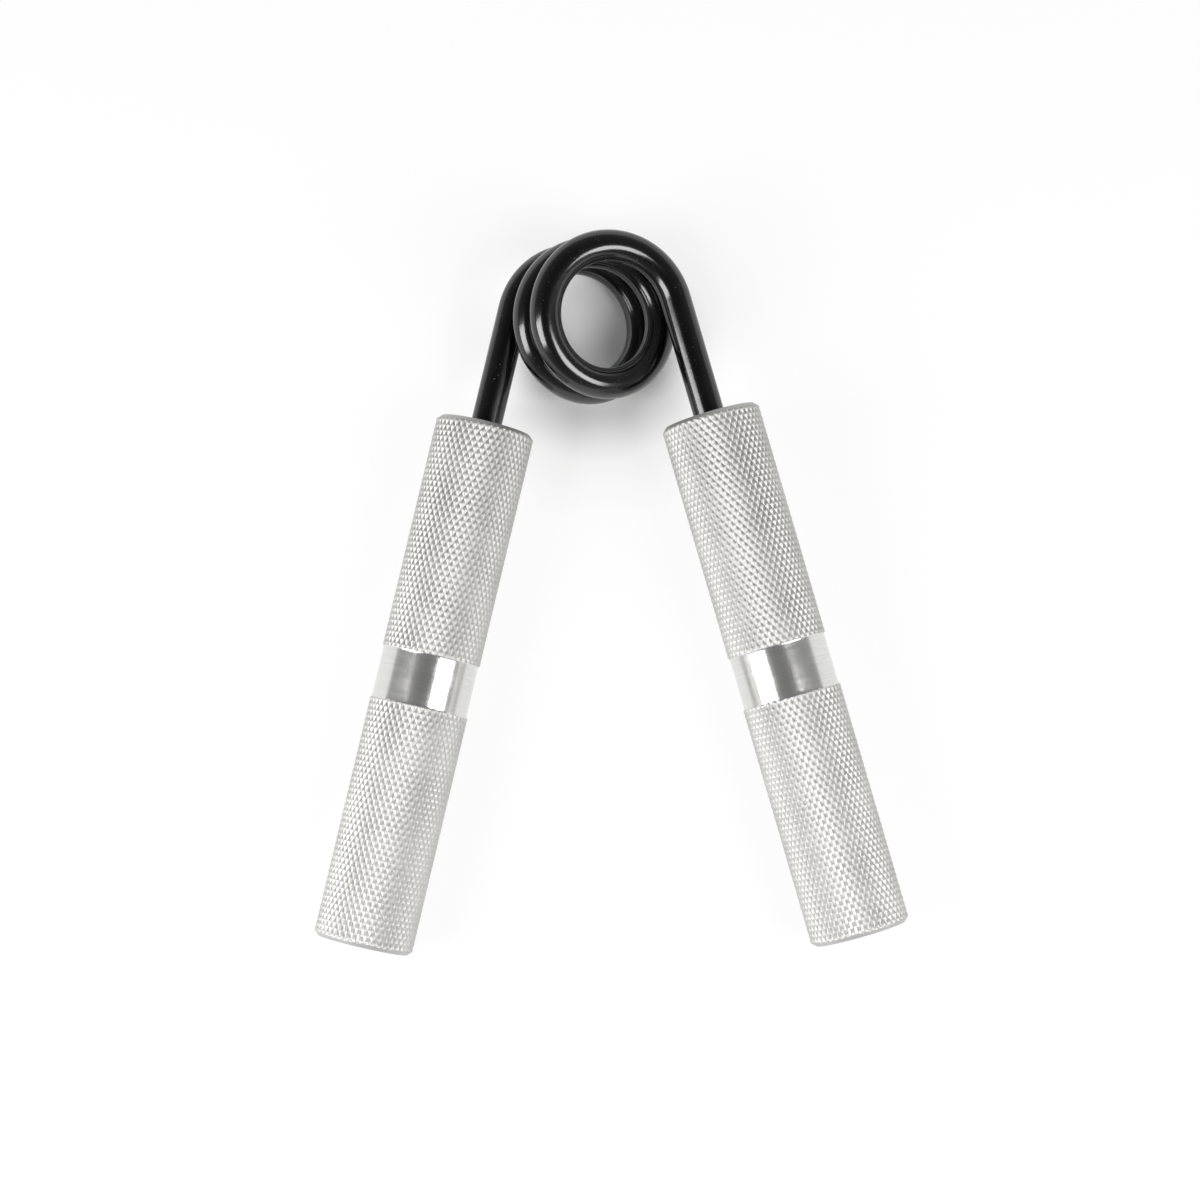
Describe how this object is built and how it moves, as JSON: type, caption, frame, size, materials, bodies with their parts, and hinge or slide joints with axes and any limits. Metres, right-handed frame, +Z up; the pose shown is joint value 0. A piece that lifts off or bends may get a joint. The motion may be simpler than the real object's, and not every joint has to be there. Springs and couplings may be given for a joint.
{
  "type": "hand grip strengthener",
  "caption": "Hand grip strengthener: a black coated torsion spring whose straight legs are bonded into knurled aluminium handles with a smooth band; squeezing the handles winds the coil.",
  "frame": {"origin": "on the surface the gripper lies on, under the middle of its bounding box", "axes": "+Z up from that surface, +Y from the handles' free ends towards the coil, +X across towards the handle whose leg leaves the upper end of the coil"},
  "size_m": [0.1323, 0.1608, 0.0342],
  "materials": {
    "spring_coating": "smooth gloss black coating over spring steel",
    "handle_aluminium": "bright machined aluminium, diamond knurled, with a turned smooth band"
  },
  "bodies": {
    "left_side": {"spring_coil": "spring_coating", "spring_leg_left": "spring_coating", "handle_left": "handle_aluminium"},
    "right_side": {"spring_leg_right": "spring_coating", "handle_right": "handle_aluminium"}
  },
  "joints": [
    {"name": "squeeze", "type": "hinge", "parent": "left_side", "child": "right_side", "pos_m": [0, 0.06133, 0.01696], "axis": [-0.4706, 0.0369, -0.8816], "range_deg": [0, 30], "stiffness_Nm_per_rad": 105}
  ]
}
